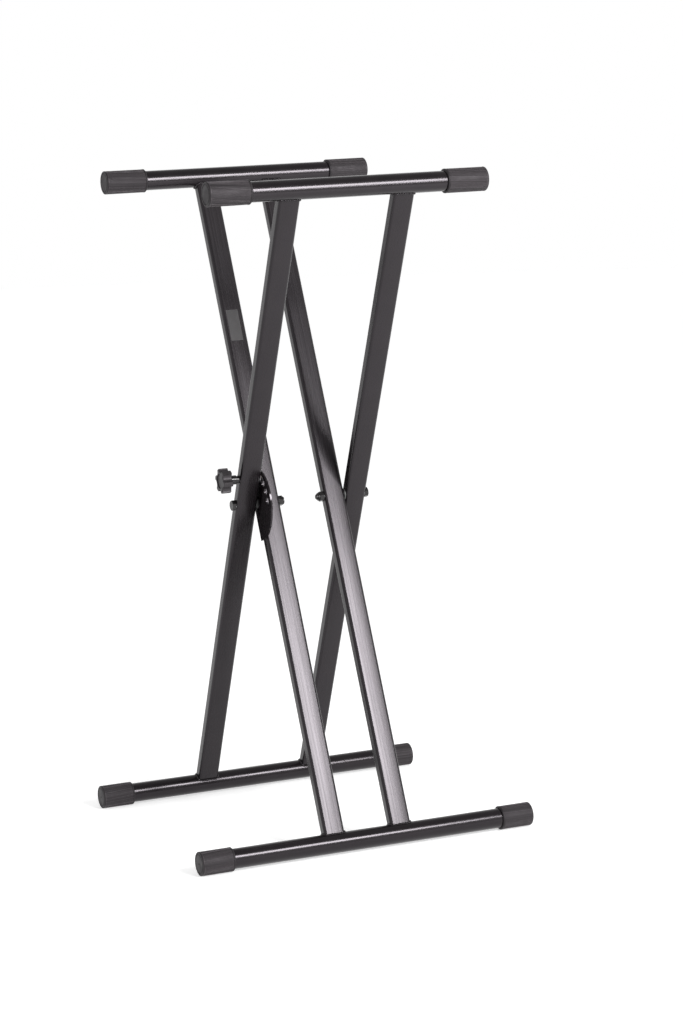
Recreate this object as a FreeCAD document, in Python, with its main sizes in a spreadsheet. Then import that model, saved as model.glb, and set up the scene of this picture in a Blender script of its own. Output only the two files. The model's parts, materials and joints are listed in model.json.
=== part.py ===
"""Folding keyboard stand: two welded tube frames that cross and turn on one pivot line.

X is the direction in which the feet spread, Y runs along the tubes and the pivots,
Z is up, and the origin is on the floor midway between the four feet.
"""
import FreeCAD, Part
import Sketcher
import math
import os
from FreeCAD import Placement, Rotation, Vector

doc = FreeCAD.newDocument("folding_keyboard_stand")
sheet = doc.addObject("Spreadsheet::Sheet", "sizes")

SIZES = {
    # round tubes of the arms and feet
    "tube_diameter": 28.0,
    "tube_wall": 1.2,
    "foot_tube_length": 501.0,
    "arm_tube_length": 406.0,
    # oblong tubes of the legs
    "leg_width": 31.0,
    "leg_depth": 16.0,
    "leg_corner": 4.0,
    "leg_wall": 1.2,
    # the crossing: level and upright distance from the pivot to each round tube's axis
    "half_spread": 200.0,
    "half_rise": 452.4,
    "inner_half_spacing": 50.5,
    "front_gap": 4.0,
    "rear_gap": 1.9,
    # welds round the leg ends
    "weld_size": 3.0,
    "weld_bevel": 2.0,
    # rubber sleeves
    "sleeve_diameter": 33.5,
    "foot_sleeve_length": 48.0,
    "arm_sleeve_length": 61.5,
    "sleeve_end_wall": 2.0,
    "sleeve_rim": 1.3,
    "sleeve_lip": 0.8,
    "sleeve_fit": 0.05,
    "sleeve_groove_radius": 13.2,
    "sleeve_groove_width": 1.2,
    "sleeve_groove_depth": 0.6,
    "dimple_radius": 1.6,
    "dimple_depth": 0.8,
    # pivot bolts, locking nuts, washers and bushes
    "bolt_diameter": 8.0,
    "bolt_length": 75.0,
    "bolt_head_height": 5.3,
    "bolt_point": 1.0,
    "wrench_size": 13.0,
    "hex_corner_cut": 0.9,
    "nut_height": 8.0,
    "nut_hex_height": 6.2,
    "nut_collar_diameter": 11.4,
    "nut_ring_height": 2.0,
    "nut_ring_diameter": 10.2,
    "washer_diameter": 17.0,
    "bush_diameter": 12.0,
    "running_fit": 0.06,
    "side_play": 0.1,
    "press_fit": 0.02,
    # the plate with the height holes
    "plate_radius": 53.0,
    "plate_offset": 2.2,
    "plate_drop": 1.8,
    "plate_thickness": 2.5,
    "plate_weld_length": 18.0,
    "plate_weld_size": 3.0,
    "plate_weld_throat": 2.5,
    "plate_weld_place": 24.0,
    "lock_radius": 43.0,
    "lock_hole_diameter": 10.0,
    "hole_step": 18.0,
    "hole_count": 4.0,
    "shut_angle": 4.0,
    # the lock
    "lock_travel": 4.1,
    "collar_diameter": 13.0,
    "collar_nose_diameter": 10.6,
    "collar_in_leg": 2.5,
    "collar_fit": 0.15,
    "guide_diameter": 13.2,
    "guide_length": 6.0,
    "insert_diameter": 13.2,
    "insert_length": 12.0,
    "knob_standoff": 14.2,
    "knob_diameter": 35.4,
    "knob_depth": 14.2,
    "knob_lobes": 6.0,
    "knob_turn": -16.2,
    "scallop_radius": 6.5,
    "scallop_reach": 19.5,
    "knob_edge": 1.1,
    "knob_dish_diameter": 21.0,
    "knob_dish_depth": 1.2,
    "lock_head_flats": 13.0,
    "lock_head_height": 5.0,
}

for row, (alias, value) in enumerate(SIZES.items(), start=1):
    sheet.set("A%d" % row, alias)
    sheet.set("B%d" % row, "%g" % value)
    sheet.setAlias("B%d" % row, alias)
doc.recompute()


def size(alias):
    return float(sheet.get(alias))


# What follows from the driving sizes
tube_radius = size("tube_diameter") / 2
half_leg = math.hypot(size("half_spread"), size("half_rise"))
lean = math.degrees(math.atan2(size("half_spread"), size("half_rise")))
foot_axis_height = size("sleeve_diameter") / 2
pivot_height = foot_axis_height + size("half_rise")
arm_axis_height = pivot_height + size("half_rise")
pivot = Vector(0, 0, pivot_height)

inner_leg_y = size("inner_half_spacing")
front_leg_y = -(inner_leg_y + size("leg_width") + size("front_gap"))
rear_leg_y = inner_leg_y + size("leg_width") + size("rear_gap")
half_width = size("leg_width") / 2

# The inner frame leans towards -X at the top, the outer frame towards +X
inner_turn = Rotation(Vector(0, 1, 0), -lean)
outer_turn = Rotation(Vector(0, 1, 0), lean)
half_turn = Rotation(Vector(0, 0, 1), 180)
HALF_LEG = "sqrt(sizes.half_spread^2 + sizes.half_rise^2)"

TOUCHING = 0.01  # mm: edges this near to a surface lie on it
LEAST_CUT = 1e-3  # mm3: a cut that takes less than this has missed

parts = []


def keep(shape_object, name, placement=None):
    """Names a finished sub-part, sets it in place and lists it for writing."""
    shape_object.Label = name
    if placement is not None:
        shape_object.Placement = placement
    parts.append(shape_object)
    return shape_object


# ---------------------------------------------------------------- sketch helpers

def origin_plane(body, role):
    for feature in body.Origin.OriginFeatures:
        if feature.Role == role:
            return feature


def new_sketch(body, role, name):
    sketch = body.newObject("Sketcher::SketchObject", name)
    sketch.AttachmentSupport = (origin_plane(body, role), [""])
    sketch.MapMode = "FlatFace"
    return sketch


def bind(sketch, constraint, expression):
    """Adds a dimension to a sketch and ties it to the sheet."""
    index = sketch.addConstraint(constraint)
    sketch.setExpression("Constraints[%d]" % index, expression)


def add_circle(sketch, radius, expression, x=0.0, y=0.0, x_expression=None, y_expression=None):
    """A circle whose radius, and centre where it isn't the origin, follow the sheet."""
    circle = sketch.addGeometry(Part.Circle(Vector(x, y, 0), Vector(0, 0, 1), radius))
    bind(sketch, Sketcher.Constraint("Radius", circle, radius), expression)
    if x_expression is None and y_expression is None:
        sketch.addConstraint(Sketcher.Constraint("Coincident", circle, 3, -1, 1))
        return
    if x_expression is None:
        sketch.addConstraint(Sketcher.Constraint("PointOnObject", circle, 3, -2))
    else:
        bind(sketch, Sketcher.Constraint("DistanceX", -1, 1, circle, 3, x), x_expression)
    if y_expression is None:
        sketch.addConstraint(Sketcher.Constraint("PointOnObject", circle, 3, -1))
    else:
        bind(sketch, Sketcher.Constraint("DistanceY", -1, 1, circle, 3, y), y_expression)


def add_rounded_box(sketch, across, along, corner, across_expr, along_expr, corner_expr):
    """A rectangle with round corners, centred on the sketch's origin."""
    a, b = across / 2, along / 2
    quarter = math.pi / 2
    sides = [
        (Vector(-a + corner, b), Vector(a - corner, b)),
        (Vector(a, b - corner), Vector(a, -b + corner)),
        (Vector(a - corner, -b), Vector(-a + corner, -b)),
        (Vector(-a, -b + corner), Vector(-a, b - corner)),
    ]
    centres = [
        (Vector(a - corner, b - corner), 0),
        (Vector(a - corner, -b + corner), 3),
        (Vector(-a + corner, -b + corner), 2),
        (Vector(-a + corner, b - corner), 1),
    ]
    lines = [sketch.addGeometry(Part.LineSegment(start, end)) for start, end in sides]
    arcs = []
    for centre, first in centres:
        circle = Part.Circle(centre, Vector(0, 0, 1), corner)
        arc = Part.ArcOfCircle(circle, first * quarter, (first + 1) * quarter)
        arcs.append(sketch.addGeometry(arc))
    for index, arc in enumerate(arcs):
        sketch.addConstraint(Sketcher.Constraint("Tangent", lines[index], 2, arc, 2))
        sketch.addConstraint(Sketcher.Constraint("Tangent", arc, 1, lines[(index + 1) % 4], 1))
    for line, kind in zip(lines, ("Horizontal", "Vertical", "Horizontal", "Vertical")):
        sketch.addConstraint(Sketcher.Constraint(kind, line))
    for arc in arcs[1:]:
        sketch.addConstraint(Sketcher.Constraint("Equal", arcs[0], arc))
    bind(sketch, Sketcher.Constraint("Radius", arcs[0], corner), corner_expr)
    bind(sketch, Sketcher.Constraint("DistanceX", lines[3], 1, lines[1], 1, across), across_expr)
    bind(sketch, Sketcher.Constraint("DistanceX", -1, 1, lines[1], 1, a), across_expr + " / 2")
    bind(sketch, Sketcher.Constraint("DistanceY", lines[2], 1, lines[0], 1, along), along_expr)
    bind(sketch, Sketcher.Constraint("DistanceY", -1, 1, lines[0], 1, b), along_expr + " / 2")


def add_hexagon(sketch, flats, flats_expr):
    """A hexagon round the sketch's origin, given across its flats."""
    radius = flats / math.sqrt(3)
    corners = [Vector(radius * math.cos(math.radians(60 * k)),
                      radius * math.sin(math.radians(60 * k))) for k in range(6)]
    guide = sketch.addGeometry(Part.Circle(Vector(0, 0, 0), Vector(0, 0, 1), radius), True)
    sketch.addConstraint(Sketcher.Constraint("Coincident", guide, 3, -1, 1))
    bind(sketch, Sketcher.Constraint("Radius", guide, radius), flats_expr + " / sqrt(3)")
    edges = []
    for k in range(6):
        edges.append(sketch.addGeometry(Part.LineSegment(corners[k], corners[(k + 1) % 6])))
    for k in range(6):
        following = edges[(k + 1) % 6]
        sketch.addConstraint(Sketcher.Constraint("Coincident", edges[k], 2, following, 1))
        sketch.addConstraint(Sketcher.Constraint("PointOnObject", edges[k], 1, guide))
    for edge in edges[1:]:
        sketch.addConstraint(Sketcher.Constraint("Equal", edges[0], edge))
    sketch.addConstraint(Sketcher.Constraint("PointOnObject", edges[0], 1, -1))


def add_outline(sketch, points):
    """A closed outline of straight lines. Each point is ((x, y), (x formula, y formula));
    a formula of None keeps the point on that axis."""
    corners = [Vector(x, y, 0) for (x, y), _ in points]
    lines = []
    for index, corner in enumerate(corners):
        following = corners[(index + 1) % len(corners)]
        lines.append(sketch.addGeometry(Part.LineSegment(corner, following)))
    for index, line in enumerate(lines):
        following = lines[(index + 1) % len(lines)]
        sketch.addConstraint(Sketcher.Constraint("Coincident", line, 2, following, 1))
    for line, ((x, y), (x_formula, y_formula)) in zip(lines, points):
        if x_formula is None:
            sketch.addConstraint(Sketcher.Constraint("PointOnObject", line, 1, -2))
        else:
            bind(sketch, Sketcher.Constraint("DistanceX", -1, 1, line, 1, x), x_formula)
        if y_formula is None:
            sketch.addConstraint(Sketcher.Constraint("PointOnObject", line, 1, -1))
        else:
            bind(sketch, Sketcher.Constraint("DistanceY", -1, 1, line, 1, y), y_formula)


def new_body(name):
    body = doc.addObject("PartDesign::Body", name)
    body.Label = name
    return body


def pad(body, sketch, length, side="One side", reverse=False):
    feature = body.newObject("PartDesign::Pad", "Pad")
    feature.Profile = sketch
    feature.SideType = side
    feature.Reversed = reverse
    feature.setExpression("Length", length)


def cut_through(body, sketch, side="Symmetric", reverse=False):
    """Cuts a sketch through the body, and makes sure that something was cut."""
    doc.recompute()
    before = body.Shape.Volume
    feature = body.newObject("PartDesign::Pocket", "Pocket")
    feature.Profile = sketch
    feature.Type = "ThroughAll"
    feature.SideType = side
    feature.Reversed = reverse
    doc.recompute()
    check_cut(body, before, sketch)
    return feature


def cut_deep(body, sketch, depth, reverse=False):
    """Cuts a sketch to a depth, and makes sure that something was cut."""
    doc.recompute()
    before = body.Shape.Volume
    feature = body.newObject("PartDesign::Pocket", "Pocket")
    feature.Profile = sketch
    feature.Reversed = reverse
    feature.setExpression("Length", depth)
    doc.recompute()
    check_cut(body, before, sketch)


def check_cut(body, before, sketch):
    if before - body.Shape.Volume < LEAST_CUT:
        raise RuntimeError("%s cuts nothing from %s" % (sketch.Name, body.Label))


def revolve(body, sketch):
    """Turns a sketch on the YZ plane about the Y axis."""
    feature = body.newObject("PartDesign::Revolution", "Revolution")
    feature.Profile = sketch
    feature.ReferenceAxis = (sketch, ["H_Axis"])
    feature.Angle = 360
    return feature


# ---------------------------------------------------------------- round tubes

def make_tube(name, length_alias, height, side):
    """A round tube along Y, on the side of the pivot that `side` gives."""
    body = new_body(name)
    sketch = new_sketch(body, "XZ_Plane", name + "_section")
    add_circle(sketch, tube_radius, "sizes.tube_diameter / 2")
    add_circle(sketch, tube_radius - size("tube_wall"), "sizes.tube_diameter / 2 - sizes.tube_wall")
    pad(body, sketch, "sizes." + length_alias, side="Symmetric")
    place = Placement(Vector(side * size("half_spread"), 0, height), Rotation())
    return keep(body, name, place)


make_tube("inner_arm_tube", "arm_tube_length", arm_axis_height, -1)
make_tube("inner_foot_tube", "foot_tube_length", foot_axis_height, 1)
make_tube("outer_arm_tube", "arm_tube_length", arm_axis_height, 1)
make_tube("outer_foot_tube", "foot_tube_length", foot_axis_height, -1)


# ---------------------------------------------------------------- legs
# A leg's own axes: Z along it, Y across its wide face, origin at the pivot.

def make_leg(name, turn, y):
    """An oblong tube whose ends are coped to sit on the round tubes."""
    body = new_body(name)
    section = new_sketch(body, "XY_Plane", name + "_section")
    add_rounded_box(section, size("leg_depth"), size("leg_width"), size("leg_corner"),
                    "sizes.leg_depth", "sizes.leg_width", "sizes.leg_corner")
    wall = size("leg_wall")
    add_rounded_box(section, size("leg_depth") - 2 * wall, size("leg_width") - 2 * wall,
                    size("leg_corner") - wall, "(sizes.leg_depth - 2 * sizes.leg_wall)",
                    "(sizes.leg_width - 2 * sizes.leg_wall)", "(sizes.leg_corner - sizes.leg_wall)")
    pad(body, section, "2 * " + HALF_LEG, side="Symmetric")

    copes = new_sketch(body, "XZ_Plane", name + "_copes")
    for end in (1, -1):
        add_circle(copes, tube_radius, "sizes.tube_diameter / 2", y=end * half_leg,
                   y_expression="%d * %s" % (end, HALF_LEG))
    cut_through(body, copes)

    bush_hole = new_sketch(body, "XZ_Plane", name + "_bush_hole")
    add_circle(bush_hole, size("bush_diameter") / 2 + size("press_fit"),
               "sizes.bush_diameter / 2 + sizes.press_fit")
    cut_through(body, bush_hole)
    return keep(body, name, Placement(pivot + Vector(0, y, 0), turn))


make_leg("inner_front_leg", inner_turn, -inner_leg_y)
make_leg("inner_rear_leg", inner_turn, inner_leg_y)
outer_front_leg = make_leg("outer_front_leg", outer_turn, front_leg_y)
make_leg("outer_rear_leg", outer_turn, rear_leg_y)

# The lock passes through the outer front leg between its wide faces: one hole for its guide
# in the outer wall, and one for the threaded insert in the inner wall
for wall_name, diameter, outer_wall in (("guide", "guide_diameter", True),
                                        ("insert", "insert_diameter", False)):
    hole = new_sketch(outer_front_leg, "XZ_Plane", "lock_%s_hole" % wall_name)
    add_circle(hole, size(diameter) / 2 + size("press_fit"),
               "sizes.%s / 2 + sizes.press_fit" % diameter, y=size("lock_radius"),
               y_expression="sizes.lock_radius")
    cut_through(outer_front_leg, hole, side="One side", reverse=outer_wall)


# ---------------------------------------------------------------- welds

def rounded_prism(across, along, corner, low, high):
    """An upright prism with round corners, as a plain shape."""
    box = Part.makeBox(across, along, high - low, Vector(-across / 2, -along / 2, low))
    upright = [edge for edge in box.Edges
               if abs(edge.Vertexes[0].Z - edge.Vertexes[-1].Z) > (high - low) / 2]
    return box.makeFillet(corner, upright)


def weld_ring(end):
    """The bead round one coped leg end: what lies within the weld's size of both the leg's
    sides and the round tube, with its outer edge bevelled. In the leg's own axes."""
    weld = size("weld_size")
    depth, width, corner = size("leg_depth"), size("leg_width"), size("leg_corner")
    past_bead = 1.0  # how far beyond the bead's top the blanks reach
    low, high = half_leg - (tube_radius + weld + past_bead), half_leg
    around = rounded_prism(depth + 2 * weld, width + 2 * weld, corner + weld, low, high)
    leg = rounded_prism(depth, width, corner, low, high)
    axis_start = Vector(0, -width, half_leg)
    near_tube = Part.makeCylinder(tube_radius + weld, 2 * width, axis_start, Vector(0, 1, 0))
    tube = Part.makeCylinder(tube_radius, 2 * width, axis_start, Vector(0, 1, 0))
    lump = around.common(near_tube).cut(tube).removeSplitter()
    rim = [edge for edge in lump.Edges if on_outer_rim(edge, weld)]
    ring = lump.makeChamfer(size("weld_bevel"), rim).cut(leg)
    if end < 0:
        ring = ring.mirror(Vector(0, 0, 0), Vector(0, 0, 1))
    return ring.Solids[0]


def on_outer_rim(edge, weld):
    """Whether an edge is where the bead's side wall meets its curved top."""
    middle = edge.valueAt((edge.FirstParameter + edge.LastParameter) / 2)
    from_tube = math.hypot(middle.x, half_leg - middle.z)
    return abs(from_tube - tube_radius - weld) < TOUCHING


def make_welds(name, end, turn, places):
    rings = []
    for y in places:
        ring = weld_ring(end)
        ring.Placement = Placement(pivot + Vector(0, y, 0), turn).multiply(ring.Placement)
        rings.append(ring)
    feature = doc.addObject("Part::Feature", name)
    feature.Shape = Part.makeCompound(rings)
    return keep(feature, name)


make_welds("inner_arm_welds", 1, inner_turn, (-inner_leg_y, inner_leg_y))
make_welds("inner_foot_welds", -1, inner_turn, (-inner_leg_y, inner_leg_y))
make_welds("outer_arm_welds", 1, outer_turn, (front_leg_y, rear_leg_y))
make_welds("outer_foot_welds", -1, outer_turn, (front_leg_y, rear_leg_y))


# ---------------------------------------------------------------- rubber sleeves
# A sleeve's own axes: Y along it, origin at its closed end, the tube comes in from +Y.

def make_sleeve(name, length_alias, dimple, tube_alias, place_x, height, rear):
    outer = size("sleeve_diameter") / 2
    bore = tube_radius + size("sleeve_fit")
    length = size(length_alias)
    lip, end_wall = size("sleeve_lip"), size("sleeve_end_wall")
    middle, depth = size("sleeve_groove_radius"), size("sleeve_groove_depth")
    half_groove = size("sleeve_groove_width") / 2
    outer_f = "sizes.sleeve_diameter / 2"
    bore_f = "sizes.tube_diameter / 2 + sizes.sleeve_fit"
    length_f = "sizes." + length_alias
    groove_in = "sizes.sleeve_groove_radius - sizes.sleeve_groove_width / 2"
    groove_out = "sizes.sleeve_groove_radius + sizes.sleeve_groove_width / 2"
    start = [((0, 0), (None, None))]
    if dimple:
        radius, sink = size("dimple_radius"), size("dimple_depth")
        start = [
            ((sink, 0), ("sizes.dimple_depth", None)),
            ((sink, radius), ("sizes.dimple_depth", "sizes.dimple_radius")),
            ((0, radius), (None, "sizes.dimple_radius")),
        ]
    points = start + [
        ((0, middle - half_groove), (None, groove_in)),
        ((depth, middle - half_groove), ("sizes.sleeve_groove_depth", groove_in)),
        ((depth, middle + half_groove), ("sizes.sleeve_groove_depth", groove_out)),
        ((0, middle + half_groove), (None, groove_out)),
        ((0, outer), (None, outer_f)),
        ((length - lip, outer), (length_f + " - sizes.sleeve_lip", outer_f)),
        ((length, outer - lip), (length_f, outer_f + " - sizes.sleeve_lip")),
        ((length, bore), (length_f, bore_f)),
        ((end_wall, bore), ("sizes.sleeve_end_wall", bore_f)),
        ((end_wall, 0), ("sizes.sleeve_end_wall", None)),
    ]
    body = new_body(name)
    profile = new_sketch(body, "YZ_Plane", name + "_profile")
    add_outline(profile, points)
    turned = revolve(body, profile)
    doc.recompute()
    rim = [index for index, edge in enumerate(turned.Shape.Edges, start=1)
           if edge.Closed and abs(edge.BoundBox.ZMax - outer) < TOUCHING
           and edge.BoundBox.YMax < TOUCHING]
    bevel = body.newObject("PartDesign::Chamfer", "Chamfer")
    bevel.Base = (turned, ["Edge%d" % index for index in rim])
    bevel.setExpression("Size", "sizes.sleeve_rim")
    end = size(tube_alias) / 2 + end_wall
    turn = half_turn if rear else Rotation()
    place = Vector(place_x, end if rear else -end, height)
    return keep(body, name, Placement(place, turn))


for frame, arm_side in (("inner", -1), ("outer", 1)):
    for end_name, is_rear in (("front", False), ("rear", True)):
        make_sleeve("%s_arm_sleeve_%s" % (frame, end_name), "arm_sleeve_length", False,
                    "arm_tube_length", arm_side * size("half_spread"), arm_axis_height, is_rear)
        make_sleeve("%s_foot_sleeve_%s" % (frame, end_name), "foot_sleeve_length", True,
                    "foot_tube_length", -arm_side * size("half_spread"), foot_axis_height, is_rear)


# ---------------------------------------------------------------- pivot hardware
# A bolt's own axes: Y along its shank, origin under its head.

def trim_hex_corners(body, face, face_f, inward):
    """Turns off the corners of a hexagon at its outer face, which is at y = face."""
    corner = size("wrench_size") / math.sqrt(3)
    cut = size("hex_corner_cut")
    corner_f = "sizes.wrench_size / sqrt(3)"
    deep_f = "%s + %d * sizes.hex_corner_cut" % (face_f, inward)
    triangle = [
        ((face, corner - cut), (face_f, corner_f + " - sizes.hex_corner_cut")),
        ((face, corner + cut), (face_f, corner_f + " + sizes.hex_corner_cut")),
        ((face + inward * cut, corner + cut), (deep_f, corner_f + " + sizes.hex_corner_cut")),
    ]
    sketch = new_sketch(body, "YZ_Plane", body.Name + "_corner")
    add_outline(sketch, triangle)
    doc.recompute()
    before = body.Shape.Volume
    groove = body.newObject("PartDesign::Groove", "Groove")
    groove.Profile = sketch
    groove.ReferenceAxis = (sketch, ["H_Axis"])
    groove.Angle = 360
    doc.recompute()
    check_cut(body, before, sketch)


def make_pivot_bolt(name, place):
    body = new_body(name)
    head = new_sketch(body, "XZ_Plane", name + "_head")
    add_hexagon(head, size("wrench_size"), "sizes.wrench_size")
    pad(body, head, "sizes.bolt_head_height")
    radius, length, point = size("bolt_diameter") / 2, size("bolt_length"), size("bolt_point")
    shank = new_sketch(body, "YZ_Plane", name + "_shank")
    shank_radius = "sizes.bolt_diameter / 2"
    add_outline(shank, [
        ((0, 0), (None, None)),
        ((0, radius), (None, shank_radius)),
        ((length - point, radius), ("sizes.bolt_length - sizes.bolt_point", shank_radius)),
        ((length, radius - point), ("sizes.bolt_length", shank_radius + " - sizes.bolt_point")),
        ((length, 0), ("sizes.bolt_length", None)),
    ])
    revolve(body, shank)
    trim_hex_corners(body, -size("bolt_head_height"), "-sizes.bolt_head_height", 1)
    return keep(body, name, place)


def make_pivot_nut(name, place):
    """A locking nut, seated on y = 0: a hexagon and a round collar that holds a nylon ring."""
    body = new_body(name)
    flats = new_sketch(body, "XZ_Plane", name + "_flats")
    add_hexagon(flats, size("wrench_size"), "sizes.wrench_size")
    pad(body, flats, "sizes.nut_hex_height", reverse=True)
    collar = new_sketch(body, "XZ_Plane", name + "_collar")
    add_circle(collar, size("nut_collar_diameter") / 2, "sizes.nut_collar_diameter / 2")
    pad(body, collar, "sizes.nut_height", reverse=True)
    trim_hex_corners(body, size("nut_hex_height"), "sizes.nut_hex_height", -1)
    bore = new_sketch(body, "XZ_Plane", name + "_bore")
    add_circle(bore, size("bolt_diameter") / 2 + size("press_fit"),
               "sizes.bolt_diameter / 2 + sizes.press_fit")
    cut_through(body, bore)
    seat = new_sketch(body, "XZ_Plane", name + "_ring_seat")
    seat.setExpression("AttachmentOffset.Base.z", "-sizes.nut_height")
    add_circle(seat, size("nut_ring_diameter") / 2 + size("press_fit"),
               "sizes.nut_ring_diameter / 2 + sizes.press_fit")
    cut_deep(body, seat, "sizes.nut_ring_height", reverse=True)
    return keep(body, name, place)


def make_ring(name, outer, outer_f, bore, bore_f, length_f, place):
    """A washer or bush along Y, seated on y = 0 and reaching towards +Y."""
    body = new_body(name)
    section = new_sketch(body, "XZ_Plane", name + "_section")
    add_circle(section, outer, outer_f)
    add_circle(section, bore, bore_f)
    pad(body, section, length_f, reverse=True)
    return keep(body, name, place)


bolt_radius = size("bolt_diameter") / 2
play = size("side_play")
bore_radius = bolt_radius + size("running_fit")
BORE = "sizes.bolt_diameter / 2 + sizes.running_fit"

make_pivot_bolt("pivot_bolt_front",
                Placement(pivot + Vector(0, front_leg_y - half_width - play, 0), inner_turn))
make_pivot_bolt("pivot_bolt_rear",
                Placement(pivot + Vector(0, rear_leg_y + half_width + play, 0),
                          inner_turn.multiply(half_turn)))
for end_name, nut_y, nut_turn, outward in (
        ("front", -inner_leg_y + half_width, inner_turn, 1),
        ("rear", inner_leg_y - half_width, inner_turn.multiply(half_turn), -1)):
    make_pivot_nut("pivot_nut_" + end_name, Placement(pivot + Vector(0, nut_y, 0), nut_turn))
    ring_y = nut_y + outward * (size("nut_height") - size("nut_ring_height"))
    make_ring("pivot_nut_ring_" + end_name, size("nut_ring_diameter") / 2, "sizes.nut_ring_diameter / 2",
              bolt_radius + size("press_fit"), "sizes.bolt_diameter / 2 + sizes.press_fit",
              "sizes.nut_ring_height", Placement(pivot + Vector(0, ring_y, 0), nut_turn))

for frame, turn, front_y, rear_y in (("inner", inner_turn, -inner_leg_y, inner_leg_y),
                                     ("outer", outer_turn, front_leg_y, rear_leg_y)):
    for end_name, leg_y in (("front", front_y), ("rear", rear_y)):
        make_ring("%s_pivot_bush_%s" % (frame, end_name), size("bush_diameter") / 2,
                  "sizes.bush_diameter / 2", bore_radius, BORE, "sizes.leg_width",
                  Placement(pivot + Vector(0, leg_y - half_width, 0), turn))

plate_face_y = -inner_leg_y - half_width
make_ring("pivot_washer_front", size("washer_diameter") / 2, "sizes.washer_diameter / 2",
          bore_radius, BORE, "sizes.front_gap - sizes.plate_thickness - sizes.side_play",
          Placement(pivot + Vector(0, front_leg_y + half_width + play, 0), inner_turn))
make_ring("pivot_washer_rear", size("washer_diameter") / 2, "sizes.washer_diameter / 2",
          bore_radius, BORE, "sizes.rear_gap - sizes.side_play",
          Placement(pivot + Vector(0, inner_leg_y + half_width, 0), inner_turn))


# ---------------------------------------------------------------- height plate
# Its own axes are the inner leg's: Z up along the leg, Y through the plate, origin at the pivot.

def make_height_plate():
    """A half-disc with its flat edge along the leg's back and a row of holes for the lock."""
    body = new_body("height_plate")
    radius, offset, drop = size("plate_radius"), size("plate_offset"), size("plate_drop")
    back = -size("leg_depth") / 2
    half_chord = math.sqrt(radius ** 2 - (back - offset) ** 2)
    outline = new_sketch(body, "XZ_Plane", "height_plate_outline")
    start = math.atan2(-half_chord, back - offset)
    end = math.atan2(half_chord, back - offset)
    circle = Part.Circle(Vector(offset, -drop, 0), Vector(0, 0, 1), radius)
    arc = outline.addGeometry(Part.ArcOfCircle(circle, start, end))
    chord = outline.addGeometry(Part.LineSegment(Vector(back, half_chord - drop, 0),
                                                 Vector(back, -half_chord - drop, 0)))
    outline.addConstraint(Sketcher.Constraint("Coincident", arc, 2, chord, 1))
    outline.addConstraint(Sketcher.Constraint("Coincident", arc, 1, chord, 2))
    outline.addConstraint(Sketcher.Constraint("Vertical", chord))
    bind(outline, Sketcher.Constraint("Radius", arc, radius), "sizes.plate_radius")
    bind(outline, Sketcher.Constraint("DistanceX", -1, 1, arc, 3, offset), "sizes.plate_offset")
    bind(outline, Sketcher.Constraint("DistanceY", -1, 1, arc, 3, -drop), "-sizes.plate_drop")
    bind(outline, Sketcher.Constraint("DistanceX", -1, 1, chord, 1, back), "-sizes.leg_depth / 2")
    pad(body, outline, "sizes.plate_thickness")

    bolt_hole = new_sketch(body, "XZ_Plane", "height_plate_bolt_hole")
    add_circle(bolt_hole, bore_radius, BORE)
    cut_through(body, bolt_hole)

    # The holes are as far round from the leg's axis as the two legs stand apart at each height
    apart = 2 * lean
    apart_f = "2 * atan(sizes.half_spread / sizes.half_rise)"
    first = make_lock_hole(body, "height_plate_first_hole", apart, apart_f)
    pattern = body.newObject("PartDesign::PolarPattern", "PolarPattern")
    pattern.Originals = [first]
    pattern.Axis = (origin_plane(body, "Y_Axis"), [""])
    pattern.Mode = "Spacing"
    pattern.setExpression("Offset", "sizes.hole_step")
    pattern.setExpression("Occurrences", "sizes.hole_count")
    body.Tip = pattern
    doc.recompute()
    make_lock_hole(body, "height_plate_shut_hole", size("shut_angle"), "sizes.shut_angle * 1deg")
    return keep(body, "height_plate", Placement(pivot + Vector(0, plate_face_y, 0), inner_turn))


def make_lock_hole(body, name, angle, angle_f):
    reach = size("lock_radius")
    hole = new_sketch(body, "XZ_Plane", name)
    add_circle(hole, size("lock_hole_diameter") / 2, "sizes.lock_hole_diameter / 2",
               x=reach * math.sin(math.radians(angle)), y=reach * math.cos(math.radians(angle)),
               x_expression="sizes.lock_radius * sin(%s)" % angle_f,
               y_expression="sizes.lock_radius * cos(%s)" % angle_f)
    return cut_through(body, hole)


make_height_plate()


def make_plate_welds():
    """Two short beads in the corner between the plate and the leg's front face."""
    leg_front, weld = size("leg_depth") / 2, size("plate_weld_size")
    length = size("plate_weld_length")
    beads = []
    for middle in (size("plate_weld_place"), -size("plate_weld_place")):
        corner = Vector(leg_front, 0, middle - length / 2)
        toward_rim = corner + Vector(weld, 0, 0)
        up_leg = corner + Vector(0, weld, 0)
        bulge = corner + Vector(1, 1, 0).normalize() * size("plate_weld_throat")
        outline = Part.Wire([Part.LineSegment(corner, toward_rim).toShape(),
                             Part.Arc(toward_rim, bulge, up_leg).toShape(),
                             Part.LineSegment(up_leg, corner).toShape()])
        beads.append(Part.Face(outline).extrude(Vector(0, 0, length)))
    feature = doc.addObject("Part::Feature", "height_plate_welds")
    feature.Shape = Part.makeCompound(beads)
    return keep(feature, "height_plate_welds",
                Placement(pivot + Vector(0, plate_face_y, 0), inner_turn))


make_plate_welds()


# ---------------------------------------------------------------- lock
# Its own axes: Y along the bolt, origin on the outer face of the outer front leg.

lock_up_leg = outer_turn.multVec(Vector(0, 0, size("lock_radius")))
lock_place = Placement(pivot + Vector(0, front_leg_y - half_width, 0) + lock_up_leg, outer_turn)


def at_lock(along):
    return Placement(lock_place.Base + Vector(0, along, 0), outer_turn)


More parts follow.
